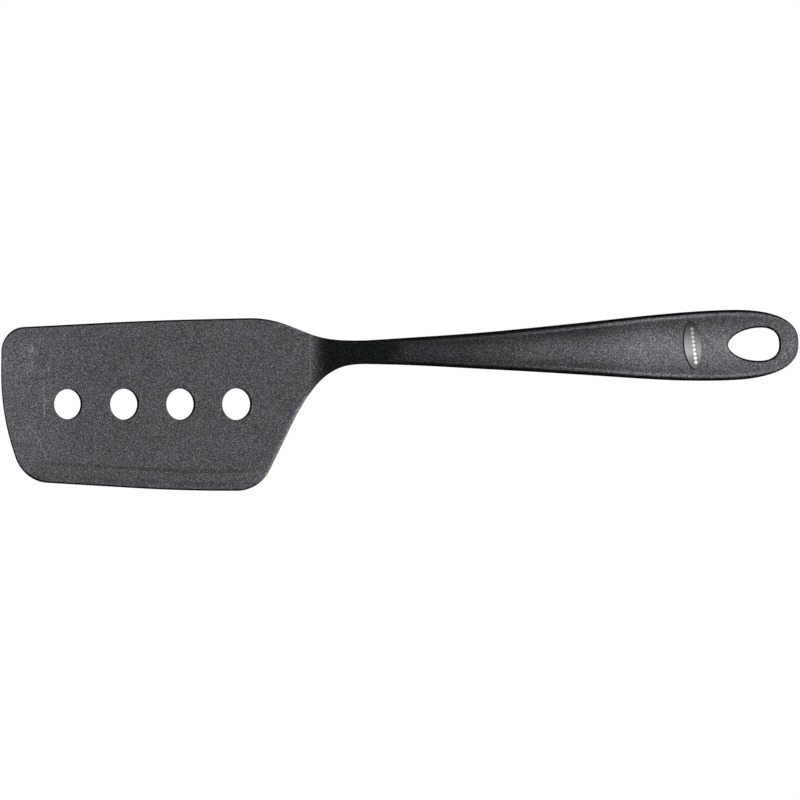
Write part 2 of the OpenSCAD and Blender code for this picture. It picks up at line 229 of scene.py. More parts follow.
def edge_distance(along, across):
    """Approximate distance from the outline."""
    station = np.minimum(along, PEAK)
    body = (half_width(station, across) - np.abs(across)) * edge_cosine(station, across)
    share = np.maximum(.001, outness(along, across))
    grad_x = (np.clip((along - PEAK) / CAP_LENGTH, 0, 9) / share) ** (CAP_POWER - 1) / CAP_LENGTH
    grad_y = (np.abs(across) / HALF_GRIP / share) ** (CAP_POWER - 1) / HALF_GRIP
    cap = np.maximum(0, 1 - share) / np.sqrt(grad_x * grad_x + grad_y * grad_y)
    return np.where(along <= PEAK, body, cap)


# ---------------------------------------------------------------- skins of the handle
def top_skin(along, across, distance=None):
    """Height of the upper skin off the spine; distance is from the outline, where it is known."""
    along, across = np.asarray(along, float), np.asarray(across, float)
    rim, flank = eased(RIMS, along), eased(FLANKS, along)
    if distance is None:
        distance = edge_distance(along, across)
    rounding = np.clip(1 - distance / rim, 0, 1)
    half = half_width(np.minimum(along, PEAK), across)
    out = outness(along, across)
    inner_out = np.where(along <= PEAK, out * half / np.maximum(.2, half - rim),
                         out / (1 - rim / HALF_GRIP))
    depth = np.clip(1 - inner_out, 0, 1)
    softness = 0.035
    soft_depth = np.sqrt(depth * depth + softness * softness) - softness
    off = (-flank * (1 - np.cbrt(np.maximum(0, 1 - rounding ** 3)))
           - eased(DISHES, along) * (1 - (1 - soft_depth) ** 2.3))
    # the handle stands a little proud of the blade where they meet
    return off + 0.03 * (1 - smooth(along, 0.3, 5.0)) - 0.025 * np.clip(1 - along / 0.15, 0, 1)


def under_skin(along, across):
    """Height of the lower skin off the spine: a broad web with a keel along the middle."""
    along, across = np.asarray(along, float), np.asarray(across, float)
    out = np.minimum(1, outness(along, across))
    flank, web, depth = eased(FLANKS, along), eased(WEBS, along), eased(DEPTHS, along)
    section = np.sqrt(np.maximum(0, 1 - out ** eased(SQUARENESS, along)))
    return -flank - (web - flank) * section - (depth - web) * (1 - out * out) ** 3


def on_top(along, across, drop=0.0):
    return handle_point(along, across, top_skin(along, across) - drop)


def on_under(along, across, lift=0.0):
    return handle_point(along, across, under_skin(along, across) + lift)


class Seat:
    """Frame on the handle: a runs along it, b across and c out of it, turned about c."""

    def __init__(self, along, across, off, turn, lean):
        self.along, self.across = along, across
        self.origin = handle_point(along, across, off)
        self.turn_cos, self.turn_sin = math.cos(turn), math.sin(turn)
        self.lean_cos, self.lean_sin = math.cos(lean), math.sin(lean)

    def unturned(self, a, b):
        return a * self.turn_cos - b * self.turn_sin, a * self.turn_sin + b * self.turn_cos

    def point(self, a, b, c):
        x, y = self.unturned(a, b)
        return np.stack(np.broadcast_arrays(
            self.origin[0] + x * self.lean_cos - c * self.lean_sin, self.origin[1] + y,
            self.origin[2] + x * self.lean_sin + c * self.lean_cos), -1)

    def coords(self, points):
        """The a, b and c of points."""
        x, y, z = (points - self.origin).T
        level = x * self.lean_cos + z * self.lean_sin
        return (level * self.turn_cos + y * self.turn_sin, y * self.turn_cos - level * self.turn_sin,
                z * self.lean_cos - x * self.lean_sin)

    def pierce(self, a, b, skin_height):
        """Along and across where lines parallel to c through (a, b) meet a skin of the handle."""
        x, y = self.unturned(a, b)
        along, across = self.along + x * self.lean_cos, self.across + y
        for _ in range(12):
            offset = handle_point(along, across, skin_height(along, across)) - self.origin
            level = offset[:, 0] * self.lean_cos + offset[:, 2] * self.lean_sin
            along = along + (x - level) * self.lean_cos
            across = across + (y - offset[:, 1])
        return along, across


BADGE_LEAN = float(slope(BADGE_ALONG))
BADGE_OFF = float(top_skin(BADGE_ALONG, BADGE_ACROSS))
BADGE_SEAT = Seat(BADGE_ALONG, BADGE_ACROSS, BADGE_OFF, BADGE_TURN, BADGE_LEAN)
EYE_SEAT = Seat(EYE_ALONG, 0.0, 0.0, EYE_TURN, -EYE_LEAN)

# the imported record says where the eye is
eye_mount = next(m for m in frame["record"]["mounts"] if m["name"] == "hanging_eye")
SHIFT = np.array(eye_mount["pos_m"]) / MM - EYE_SEAT.origin


# ---------------------------------------------------------------- plan tools
def rounded(corners, spacing=0.25):
    """Dense points of a polygon whose corners [x, y, radius] are rounded by arcs."""
    points = []
    for i, (x, y, radius) in enumerate(corners):
        corner = np.array([x, y], float)
        before = np.array(corners[i - 1][:2], float)
        after = np.array(corners[(i + 1) % len(corners)][:2], float)
        if radius <= 0:
            points.append(corner)
            continue
        back = (before - corner) / np.linalg.norm(before - corner)
        ahead = (after - corner) / np.linalg.norm(after - corner)
        half = math.acos(max(-1, min(1, float(back @ ahead)))) / 2
        side = 1 if back[0] * ahead[1] - back[1] * ahead[0] > 0 else -1
        start = corner + back * radius / math.tan(half)
        centre = start + side * radius * np.array([-back[1], back[0]])
        turn = math.pi - 2 * half
        first = math.atan2(start[1] - centre[1], start[0] - centre[0])
        steps = max(4, int(math.ceil(turn * radius / spacing)))
        for j in range(steps + 1):
            angle = first - side * turn * j / steps
            points.append(centre + radius * np.array([math.cos(angle), math.sin(angle)]))
    return np.array(points)


def resample(points, step):
    """Evenly spaced points along a polyline, and the unit tangents there."""
    lengths = np.linalg.norm(np.diff(points, axis=0), axis=1)
    marks = np.concatenate([[0], np.cumsum(lengths)])
    total = marks[-1]
    stops = np.linspace(0, total, int(round(total / step)) + 1)

    def at(distance):
        return np.stack([np.interp(distance, marks, points[:, k]) for k in (0, 1)], -1)

    reach = 0.35
    tangents = at(np.minimum(total, stops + reach)) - at(np.maximum(0, stops - reach))
    return at(stops), tangents / np.linalg.norm(tangents, axis=1)[:, None]


def right_of(tangents):
    return np.stack([tangents[:, 1], -tangents[:, 0]], -1)


def inside(points, loop):
    """Even-odd test, in chunks to spare memory."""
    start, end = loop, np.roll(loop, -1, axis=0)
    hit = np.zeros(len(points), bool)
    chunk = 4000
    for first in range(0, len(points), chunk):
        x, y = points[first:first + chunk].T[:, :, None]
        spans = (start[:, 1] > y) != (end[:, 1] > y)
        with np.errstate(divide="ignore", invalid="ignore"):
            crossing = ((end[:, 0] - start[:, 0]) * (y - start[:, 1]) / (end[:, 1] - start[:, 1])
                        + start[:, 0])
        hit[first:first + chunk] = (np.sum(spans & (x < crossing), axis=1) % 2) == 1
    return hit


def clear_of(points, loops, gap):
    """Which points are further than gap from every loop point."""
    others = np.concatenate(loops)
    keep = np.ones(len(points), bool)
    chunk = 3000
    for first in range(0, len(points), chunk):
        some = points[first:first + chunk]
        squared = ((some[:, None, 0] - others[None, :, 0]) ** 2
                   + (some[:, None, 1] - others[None, :, 1]) ** 2)
        keep[first:first + chunk] = squared.min(1) > gap * gap
    return keep


def in_region(points, loops):
    """Inside the first loop and outside the others."""
    hit = inside(points, loops[0])
    for loop in loops[1:]:
        hit &= ~inside(points, loop)
    return hit


def fill(loops, grid, gap):
    """Triangulate inside the first loop and outside the others.

    Returns the grid points used and anticlockwise triangles, which index the loops' points in turn and
    then those grid points.
    """
    grid = grid[in_region(grid, loops)]
    grid = grid[clear_of(grid, loops, gap)]
    points = np.concatenate(loops + [grid])
    edges, base = [], 0
    for loop in loops:
        count = len(loop)
        edges += [(base + i, base + (i + 1) % count) for i in range(count)]
        base += count
    result = delaunay_2d_cdt([Vector(p) for p in points.tolist()], edges, [], 0, 1e-9, True)
    source = np.array([origins[0] if len(origins) else -1 for origins in result[3]])
    triangles = source[np.array(result[2])]
    triangles = triangles[(triangles >= 0).all(1)]
    triangles = triangles[in_region(points[triangles].mean(1), loops)]
    corners = points[triangles]
    area = np.cross(corners[:, 1] - corners[:, 0], corners[:, 2] - corners[:, 0])
    triangles[area < 0] = triangles[area < 0][:, ::-1]
    return grid, triangles[np.abs(area) > 1e-9]


def spread(*stops):
    """Coordinates from (start, step), ..., (end, None)."""
    values = []
    for (start, step), (end, _) in zip(stops[:-1], stops[1:]):
        count = max(1, int(round((end - start) / step)))
        values += list(np.linspace(start, end, count + 1)[:-1])
    return np.array(values + [stops[-1][0]])


def lattice(xs, ys):
    return np.stack(np.meshgrid(xs, ys, indexing="ij"), -1).reshape(-1, 2)


# ---------------------------------------------------------------- mesh builder
class Skin:
    """Vertices and faces of one closed piece, in millimetres before the shift."""

    def __init__(self):
        self.points, self.faces, self.count = [], [], 0

    def add(self, points):
        points = np.asarray(points, float).reshape(-1, 3)
        self.points.append(points)
        ids = np.arange(self.count, self.count + len(points))
        self.count += len(points)
        return ids

    def strip(self, lower, upper, closed=False):
        count = len(lower)
        for i in range(count if closed else count - 1):
            j = (i + 1) % count
            self.faces.append((lower[i], upper[i], upper[j], lower[j]))

    def bands(self, rings, closed=False, flip=False):
        for one, two in zip(rings[:-1], rings[1:]):
            if flip:
                one, two = two, one
            self.strip(one, two, closed)

    def bore(self, rim, waist, under):
        """Wall of a through hole: rounded rim, waist ring, rounded lower edge."""
        self.bands(rim, closed=True)
        self.strip(waist, rim[0], True)
        self.strip(under[0], waist, True)
        self.bands(under, closed=True, flip=True)

    def base(self, rings, low, centre, flip=False):
        """Closed rings, a wall down to the low ring and a fan about the centre point."""
        self.bands(rings, closed=True)
        self.strip(low, rings[0], True)
        middle = self.add(centre)[0]
        for one, two in zip(low, np.roll(low, -1)):
            self.faces.append((one, middle, two) if flip else (one, two, middle))

    def sheet(self, loops, loop_ids, grid, gap, surface, flip=False):
        """Triangles between loops; surface lifts the plan points used in between."""
        kept, triangles = fill(loops, grid, gap)
        ids = np.concatenate(loop_ids + [self.add(surface(*kept.T))])[triangles]
        self.faces += [tuple(t) for t in (ids[:, ::-1] if flip else ids)]

    def metres(self):
        return (np.concatenate(self.points) + SHIFT) * MM

    def build(self, node, material, sharp_angle=32):
        name = f"{node}_visual"
        mesh = bpy.data.meshes.new(name)
        mesh.from_pydata(self.metres().tolist(), [], [tuple(int(i) for i in f) for f in self.faces])
        mesh.update()
        bm = bmesh.new()
        bm.from_mesh(mesh)
        bmesh.ops.remove_doubles(bm, verts=bm.verts, dist=1e-7)
        bmesh.ops.recalc_face_normals(bm, faces=bm.faces)
        loose = [v for v in bm.verts if not v.link_faces]
        bmesh.ops.delete(bm, geom=loose, context="VERTS")
        if bm.calc_volume(signed=True) < 0:
            bmesh.ops.reverse_faces(bm, faces=bm.faces)
        bm.to_mesh(mesh)
        bm.free()
        mesh.polygons.foreach_set("use_smooth", [True] * len(mesh.polygons))
        mesh.set_sharp_from_angle(angle=math.radians(sharp_angle))
        mesh.validate()
        mesh.materials.append(material)
        piece = bpy.data.objects.new(name, mesh)
        bpy.context.scene.collection.objects.link(piece)
        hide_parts(node)
        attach(piece, "root")
        return piece


def set_attribute(piece, name, values):
    attribute = piece.data.attributes.new(name, "FLOAT", "POINT")
    attribute.data.foreach_set("value", values.astype(np.float32))


# ---------------------------------------------------------------- shader builder
class Shader:
    """Builds a node tree; inputs may be values or sockets."""

    def __init__(self, owner, output="OutputMaterial"):
        owner.use_nodes = True
        self.tree = owner.node_tree
        self.tree.nodes.clear()
        self.output = self.node(output)

    def node(self, kind, inputs=None, **settings):
        node = self.tree.nodes.new("ShaderNode" + kind)
        for name, value in settings.items():
            setattr(node, name, value)
        for key, value in (inputs or {}).items():
            if isinstance(value, bpy.types.NodeSocket):
                self.tree.links.new(value, node.inputs[key])
            else:
                node.inputs[key].default_value = value
        return node

    def calc(self, operation, *values, clamp=False):
        return self.node("Math", dict(enumerate(values)), operation=operation, use_clamp=clamp).outputs[0]

    def remap(self, value, source, target):
        """Map the source range linearly onto the target range, clamped."""
        return self.node("MapRange", {
            "Value": value, "From Min": source[0], "From Max": source[1],
            "To Min": target[0], "To Max": target[1]}).outputs["Result"]

    def split(self, vector):
        return self.node("SeparateXYZ", {0: vector}).outputs

    def attribute(self, name):
        return self.node("Attribute", attribute_name=name).outputs["Fac"]

    def noise(self, vector, size, **inputs):
        """Noise whose features are about size millimetres."""
        return self.node("TexNoise", {"Vector": vector, "Scale": 1 / (size * MM), **inputs}).outputs

    def diffuse(self, colour):
        return self.node("BsdfDiffuse", {"Color": (*colour, 1)}).outputs[0]

    def glow(self, kind, strength, colour=(1, 1, 1)):
        return self.node(kind, {"Color": (*colour, 1), "Strength": strength}).outputs[0]

    def mix(self, share, first, second):
        return self.node("MixShader", {"Fac": share, 1: first, 2: second}).outputs[0]

    def camera_mix(self, others, camera):
        """One shader for camera rays and another for all other rays."""
        path = self.node("LightPath")
        return self.mix(path.outputs["Is Camera Ray"], others, camera)

    def finish(self, surface):
        self.tree.links.new(surface, self.output.inputs["Surface"])


# ---------------------------------------------------------------- materials
NYLON_ROUGHNESS = 0.455
GRAIN = 0.15                            # size of the grain's cells, mm
WARP = 0.0005                           # how far the cells are pushed about, m
SPECK_RANGE = (0.48, 4.15)              # sheen between specks and on the brightest speck
BUMP_STRENGTH, BUMP_HEIGHT = 0.25, 0.00006
LOW_VIEW = (0.88, 0.5)                  # upward share of the view direction, steep to low
PAINTED_FILL_BODY, PAINTED_FILL_SHEEN = 8.0, 1.4          # gains of body and sheen seen from low down: painted fill light
MIDDLE_SLOPE, MIDDLE_Y = 0.0156, 0.0187     # the grip's middle line in plan, m


def near_line(shader, position, start, end, half):
    """1 on the line from start to end seen from above, 0 further than half away, in metres."""
    calc = shader.calc
    unit_x, unit_y = end[0] - start[0], end[1] - start[1]
    length = math.hypot(unit_x, unit_y)
    unit_x, unit_y = unit_x / length, unit_y / length
    from_x = calc("SUBTRACT", position["X"], start[0])
    from_y = calc("SUBTRACT", position["Y"], start[1])
    along = calc("ADD", calc("MULTIPLY", from_x, unit_x), calc("MULTIPLY", from_y, unit_y))
    off = calc("ABSOLUTE", calc("SUBTRACT", calc("MULTIPLY", from_x, unit_y),
                                calc("MULTIPLY", from_y, unit_x)))
    side = shader.remap(off, (half * 0.5, half), (1, 0))
    from_middle = calc("ABSOLUTE", calc("SUBTRACT", along, length / 2))
    ends = shader.remap(from_middle, (length / 2 * 0.8, length / 2), (1, 0))
    return calc("MULTIPLY", side, ends)


def moulded(name, base, tint, scuffs=(), flank=1.0, painted_light_bands=()):
    """Matte moulded nylon: a dark body under a broad sheen, both broken up by fine grain.

    Edges with "shine" above 0 get a painted highlight, below 0 painted shade. From above, walls get
    painted shade, and flanks facing away from the grip's middle line go down to flank with painted shade.
    scuffs holds (start, end, half width, extra gain); the last argument holds (x range, gain range) of
    painted light and shade along X. All in metres.
    """
    material = bpy.data.materials.new(name)
    shader = Shader(material)
    calc, remap = shader.calc, shader.remap
    here = shader.node("TexCoord").outputs["Object"]

    # warped cells give the grain its irregular size
    warp = shader.noise(here, 0.9)["Color"]
    warped = shader.node("VectorMath", {0: warp, 1: (WARP,) * 3, 2: here}, operation="MULTIPLY_ADD")
    cell = shader.node("TexVoronoi", {"Vector": warped.outputs[0], "Scale": 1 / (GRAIN * MM)})
    cell_value = shader.node("SeparateColor", {"Color": cell.outputs["Color"]}).outputs[0]
    fine = shader.noise(here, 0.55, Detail=3.0, Roughness=0.7)["Fac"]
    broad = shader.noise(here, 9, Detail=3.0)["Fac"]
    # the high power leaves few cells bright
    speck = remap(calc("POWER", cell_value, 6.0), (0, 1), SPECK_RANGE)
    cloud = remap(broad, (0.3, 0.7), (0.93, 1.07))
    gain = calc("MULTIPLY", speck, cloud)

    if scuffs:
        position = shader.split(here)
        for start, end, half, amount in scuffs:
            line = near_line(shader, position, start, end, half)
            broken = calc("MULTIPLY", line, remap(fine, (0.35, 0.65), (0.3, 1.3)))
            gain = calc("MULTIPLY", gain, calc("MULTIPLY_ADD", broken, amount, 1.0))
    position = shader.split(here)
    # painted light and shade in bands along X
    for x_range, gain_range in painted_light_bands:
        gain = calc("MULTIPLY", gain, remap(position["X"], x_range, gain_range))

    # painted shade on walls and outward flanks, fading out as the eye comes down
    geometry = shader.node("NewGeometry").outputs
    view_up = shader.split(geometry["Incoming"])["Z"]
    facing = shader.split(geometry["Normal"])
    shine = shader.attribute("shine")
    wall = remap(calc("ABSOLUTE", facing["Z"]), (0.2, 0.7), (0.85, 0.0))
    middle = calc("MULTIPLY_ADD", position["X"], MIDDLE_SLOPE, MIDDLE_Y)
    outward = calc("SIGN", calc("SUBTRACT", position["Y"], middle))
    side = remap(calc("MULTIPLY", outward, facing["Y"]), (0.15, 0.6), (0.0, 1 - flank))
    painted_wall_shade = calc("MULTIPLY", calc("MAXIMUM", wall, side), remap(view_up, (0.6, 0.88), (0, 1)))
    # on the blade's edges, shine above 0 is a painted highlight and below 0 deeper painted shade
    painted_wall_shade = calc("MULTIPLY", painted_wall_shade, calc("SUBTRACT", 1.0, shine))
    gain = calc("MULTIPLY", gain, calc("SUBTRACT", 1.0, painted_wall_shade, clamp=True))
    gain = calc("MULTIPLY", gain, calc("MULTIPLY_ADD", shine, 1.0, 1.0))

    bump = shader.node("Bump", {"Strength": BUMP_STRENGTH, "Distance": BUMP_HEIGHT, "Height": fine})
    normal = bump.outputs["Normal"]
    # painted fill light: the body looks paler the lower the eye is
    body_gain = calc("MULTIPLY", gain, remap(view_up, LOW_VIEW, (1, PAINTED_FILL_BODY)))
    shade = shader.node("VectorMath", operation="SCALE", inputs={0: base, "Scale": body_gain})
    body = shader.node("BsdfDiffuse", {"Color": shade.outputs[0]})
    sheen = shader.node("BsdfGlossy", {"Color": (*tint, 1), "Roughness": NYLON_ROUGHNESS,
                                       "Normal": normal}, distribution="BECKMANN")
    fresnel = shader.node("Fresnel", {"IOR": 1.5, "Normal": normal})
    # painted fill light on the sheen too, as the eye comes down
    sheen_gain = calc("MULTIPLY", gain, remap(view_up, LOW_VIEW, (1, PAINTED_FILL_SHEEN)))
    share = calc("MULTIPLY", fresnel.outputs[0], sheen_gain, clamp=True)
    shader.finish(shader.mix(share, body.outputs[0], sheen.outputs[0]))
    return material


def polished(name, colour, dot_highlight, roughness, y_range):
    """Polished moulding; its specular level carries a painted reflection, brighter along y_range (metres), and
    its attribute "dot" a painted highlight in the pale colour given.
    """
    material = bpy.data.materials.new(name)
    shader = Shader(material)
    calc, remap = shader.calc, shader.remap
    here = shader.node("TexCoord").outputs["Object"]
    rough = remap(shader.noise(here, 0.9)["Fac"], (0.3, 0.7), (roughness - 0.04, roughness + 0.04))
    position = shader.split(here)
    # painted reflection in the specular level: grows along y_range, then falls off towards -Y and +X
    growth = remap(position["Y"], y_range, (0.14, 0.76))
    fall = calc("MULTIPLY", remap(position["Y"], (0.0180, 0.0146), (1.0, 0.56)),
                remap(position["X"], (0.1062, 0.1107), (1.12, 0.85)))
    specular = calc("MULTIPLY", growth, fall)
    # painted highlight on the dots, growing along y_range like the painted reflection
    dot_highlight_share = calc("MULTIPLY", shader.attribute("dot"), remap(position["Y"], y_range, (0.12, 1.0)))
    tone = shader.node("Mix", {"Factor": dot_highlight_share, "A": (*colour, 1), "B": (*dot_highlight, 1)},
                       data_type="RGBA")
    surface = shader.node("BsdfPrincipled", {
        "Roughness": rough, "Specular IOR Level": specular, "Base Color": tone.outputs["Result"]})
    shader.finish(surface.outputs["BSDF"])
    return material


# start, end, half width, extra gain
SCUFFS = [((-0.1315, -0.0080), (-0.1315, 0.0078), 0.00032, 0.85),
          ((-0.1356, -0.0100), (-0.1302, -0.0224), 0.00036, 0.75),
          ((-0.1302, 0.0104), (-0.1297, 0.0122), 0.0005, 1.3),
          ((-0.1372, 0.0085), (-0.1360, 0.0215), 0.0016, 0.28),
          ((-0.1398, 0.0181), (-0.1338, 0.0186), 0.0006, 0.50)]
# painted light and shade along the handle: x range, gain range
PAINTED_LIGHT_BANDS = [((-0.0302, -0.0262), (0.8, 1.0)), ((-0.026, -0.022), (1.0, 1.28)),
             ((-0.004, 0.006), (1.0, 0.78)), ((0.124, 0.141), (1.0, 0.8))]
BLADE_MATERIAL = moulded("nylon_blade", base=(0.0048, 0.0052, 0.0054), tint=(0.94, 0.93, 1.0),
                         scuffs=SCUFFS)
HANDLE_MATERIAL = moulded("nylon_handle", base=(0.0062, 0.0067, 0.0064), tint=(0.935, 0.925, 1.0),
                          flank=0.4, painted_light_bands=PAINTED_LIGHT_BANDS)
# the badge's raised dots get a near-white painted highlight
BADGE_MATERIAL = polished("badge_polish", colour=(0.030, 0.028, 0.029), dot_highlight=(0.95, 0.95, 0.97),
                          roughness=0.35, y_range=(0.0282, 0.0175))

# ---------------------------------------------------------------- blade
# corners of the plan, clockwise seen from above: x, y, rounding radius
BLADE_CORNERS = [
    [TIP_X + 0.35, NEAR_Y - 3.85, 9.3], [-63.4, NEAR_Y - 1, 1500], [-16.2, NEAR_Y, 43],
    [0, ROOT_NEAR_Y, 0], [0, ROOT_FAR_Y, 0], [-5.2, ROOT_FAR_Y - 8.05, 80],
    [-19.8, FAR_Y, 15], [-51.4, FAR_Y + 0.05, 700], [TIP_X + 9, FAR_Y + 3.5, 14.5],
    [TIP_X, FAR_Y + 29.5, 85]]
# the far edge as a plain line: x, distance from FAR_Y
FAR_EDGE = [(TIP_X, 3.75), (TIP_X + 8.85, 3.5), (-51.4, .05), (-19.8, 0), (0, 0)]
OUTLINE_STEP = 0.62
EDGE_ROUND, UNDER_ROUND = 0.40, 0.3
INNER_STEPS = (0.14, 0.28, 0.42, 0.58, 0.76, 0.95)      # rings inside the rounded edge
HOLE_ROUND, HOLE_UNDER_ROUND = 0.28, 0.2
HOLE_WAIST, HOLE_WAIST_Z = 0.05, -1.1                   # how much narrower the waist is, and where
HOLE_ANGLES = np.linspace(0, 2 * math.pi, 72, endpoint=False)
NEAR_SHARE = 0.6                                        # of the near shoulder's bead against the far


def blade_point(x, y, off):
    return np.stack(np.broadcast_arrays(
        x * math.cos(BLADE_RISE) + off * math.sin(BLADE_RISE), y,
        -x * math.sin(BLADE_RISE) + off * math.cos(BLADE_RISE)), -1)


def blade_top(x, y):
    """Upper skin of the blade, measured off its plane."""
    # bevel down to the lip
    t = np.clip((-86.0 - x) / (BLADE_LENGTH - 86.0), 0, 1)
    off = -(BLADE_THICK - LIP_THICK) * t ** 2
    # stepped far margin with a low bead
    margin = smooth(x, -112, -104) * (1 - smooth(x, -26, -17))
    stations, offsets = zip(*FAR_EDGE)
    from_edge = y - np.interp(x, stations, [FAR_Y + offset for offset in offsets])
    off = (off - 0.25 * margin * (1 - smooth(from_edge, 6.2, 8.4))
           + 0.06 * margin * (1 - smooth(from_edge, 4.4, 5.9)))
    off = off - 0.22 * margin * (1 - smooth(from_edge, 1.2, 4.0))
    # raised strip along the near side
    off = off + 0.09 * (smooth(x, -82, -66) * smooth(y, 3.3, 5.7))
    # the rims of the holes are raised towards the tip
    for hole_x, hole_y, radius in HOLES:
        distance = np.hypot(x - hole_x, y - hole_y)
        off = off + (0.07 * (1 - smooth(distance, radius + 0.2, radius + 1.7))
                     * smooth(hole_x - x, -0.5 * radius, 0.8 * radius))
    return off


def on_blade(x, y, drop=0.0):
    return blade_point(x, y, blade_top(x, y) - drop)


def under_blade(x, y, lift=0.0):
    return blade_point(x, y, -BLADE_THICK + lift)


def blade_edge():
    """Outline from the far root corner round to the near one, and its inward directions."""
    dense = rounded(BLADE_CORNERS)
    start = int(np.argmin(np.linalg.norm(dense - [0, ROOT_FAR_Y], axis=1)))
    edge, tangents = resample(np.roll(dense, -start, axis=0), OUTLINE_STEP)
    inward = right_of(tangents)
    # at the root the rings end on the root line
    for i, way in ((0, 1.0), (-1, -1.0)):
        inward[i] = np.array([0.0, way]) / max(0.3, abs(inward[i][1]))
    return edge, inward


def blade_hole(skin, x, y, radius):
    """Add one hole; returns the plan and ids of its top loop, then of its bottom loop."""
    def circle(size):
        return x + size * np.cos(HOLE_ANGLES), y + size * np.sin(HOLE_ANGLES)

    rim, under = [], []
    for aside, down in quarter_round(6):
        top = circle(radius + HOLE_ROUND * aside)
        rim.append(skin.add(on_blade(*top, HOLE_ROUND * down)))
    waist = skin.add(blade_point(*circle(radius - HOLE_WAIST), HOLE_WAIST_Z))
    for aside, down in quarter_round(4):
        low = circle(radius + HOLE_UNDER_ROUND * aside)
        under.append(skin.add(under_blade(*low, HOLE_UNDER_ROUND * down)))
    skin.bore(rim, waist, under)
    return np.stack(top, -1), rim[-1], np.stack(low, -1), under[-1]


def root_line(start_y, end_y, count):
    return np.array([[0.0, y] for y in np.linspace(start_y, end_y, count)[1:-1]])


def build_blade():
    edge, inward = blade_edge()
    # both shoulders towards the root carry a low bead
    far_side = (smooth(edge[:, 1], -50.5, -44) * smooth(edge[:, 0], -30, -18)
                * (1 - smooth(edge[:, 1], -17.5, -16.0)))
    near_side = NEAR_SHARE * smooth(edge[:, 0], -16, -9) * smooth(edge[:, 1], 6.4, 7.2)
    bead = 0.12 * (far_side + near_side)
    tuck = 0.19 * far_side

    def edge_plan(depth):
        plan = edge + inward * (depth + tuck)[:, None]
        plan[[0, -1], 0] = 0
        return plan

    skin = Skin()
    top, under = [], []
    # depth inside the outline, drop, share of the bead
    steps = [(EDGE_ROUND * aside, EDGE_ROUND * down, 1.0) for aside, down in quarter_round(7)]
    steps += [(EDGE_ROUND + more, 0.0, float(1 - smooth(more, 0.0, 0.9))) for more in INNER_STEPS]
    for depth, drop, bead_share in steps:
        top_plan = edge_plan(depth)
        off = blade_top(*top_plan.T) - drop + bead * bead_share
        top.append(skin.add(blade_point(*top_plan.T, off)))
    for aside, down in quarter_round(5):
        under_plan = edge_plan(UNDER_ROUND * aside)
        under.append(skin.add(under_blade(*under_plan.T, UNDER_ROUND * down)))
    skin.bands(top)
    skin.bands(under, flip=True)
    skin.strip(under[0], top[0])

    holes = [blade_hole(skin, *hole) for hole in HOLES]
    top_loops, top_ids, under_loops, under_ids = (list(part) for part in zip(*holes))
    root_top = root_line(top_plan[-1][1], top_plan[0][1], 30)
    root_ids = skin.add(on_blade(*root_top.T))
    grid = lattice(spread((TIP_X, 0.8), (0, None)),
                   spread((-52, 0.36), (-40, 0.8), (2.4, 0.42), (6.8, 0.8), (12.4, None)))
    skin.sheet([np.concatenate([top_plan, root_top])] + top_loops, [top[-1], root_ids] + top_ids,
               grid, 0.36, on_blade)
    root_under = root_line(ROOT_NEAR_Y - .33, ROOT_FAR_Y + .5, 18)
    root_under_ids = skin.add(under_blade(*root_under.T))
    grid = lattice(spread((TIP_X, 1.6), (0, None)), spread((-52, 1.6), (12.4, None)))
    skin.sheet([np.concatenate([under_plan, root_under])] + under_loops,
               [under[-1], root_under_ids] + under_ids, grid, 0.6, under_blade, flip=True)
    # root face, against the handle
    face = [ring[-1] for ring in under[::-1] + top] + list(root_ids)
    face += [ring[0] for ring in top[::-1] + under] + list(root_under_ids[::-1])
    skin.faces.append(tuple(face))
    blade = skin.build("blade", BLADE_MATERIAL)

    # painted highlight along both shoulders' edges, and painted shade along both long edges
    vertices = blade.data.vertices
    tree = kdtree.KDTree(len(vertices))
    for vertex in vertices:
        tree.insert(vertex.co, vertex.index)
    tree.balance()
    places = skin.metres()
    painted_edge_light = np.zeros(len(vertices), np.float32)
    long_edge = (smooth(np.abs(inward[:, 1]), 0.6, 0.88)
                 * np.clip(1 - far_side - near_side / NEAR_SHARE, 0, 1))
    for (depth, _, _), ids in zip(steps, top):
        bright = float(1 - smooth(depth, 0.45, 0.9))
        shine = (far_side + near_side) * bright * float(smooth(depth, 0.0, 0.1))
        shine = shine - 0.82 * long_edge * float(1 - smooth(depth, 0.46, 0.78))
        for i, value in zip(ids, shine):
            if abs(value) > 0.01:
                painted_edge_light[tree.find(places[i])[1]] = value
    set_attribute(blade, "shine", painted_edge_light)


# ---------------------------------------------------------------- badge outline
OVAL_ANGLES = np.linspace(0, 2 * math.pi, 120, endpoint=False)
OVAL_COS = np.cos(OVAL_ANGLES)          # 1 on the eye's side, -1 on the blade's side


def oval(grow):
    """Outline of the badge grown by grow, in the frame of its seat."""
    points = np.stack([(BADGE_LENGTH / 2) * np.sign(OVAL_COS) * np.abs(OVAL_COS) ** 1.06,
                       (BADGE_WIDTH / 2) * np.sin(OVAL_ANGLES)], -1)
    tangents = np.roll(points, -1, axis=0) - np.roll(points, 1, axis=0)
    tangents /= np.linalg.norm(tangents, axis=1)[:, None]
    return points + right_of(tangents) * np.broadcast_to(grow, len(points))[:, None]


# ---------------------------------------------------------------- handle
ROOT_STATIONS = [GAP, .06, .12, .2, .28, .36, .45, .6, .85, 1.2, 1.65, 2.2, 2.8]
SIDE_STATIONS = np.concatenate([ROOT_STATIONS, np.linspace(3.4, PEAK, 206)])
EYE_ROUND, EYE_UNDER_ROUND = 0.26, 0.5
POCKET_GROW = 0.07 - 0.04 * OVAL_COS    # clearance round the badge
POCKET_ROUND = 0.11 - 0.06 * OVAL_COS


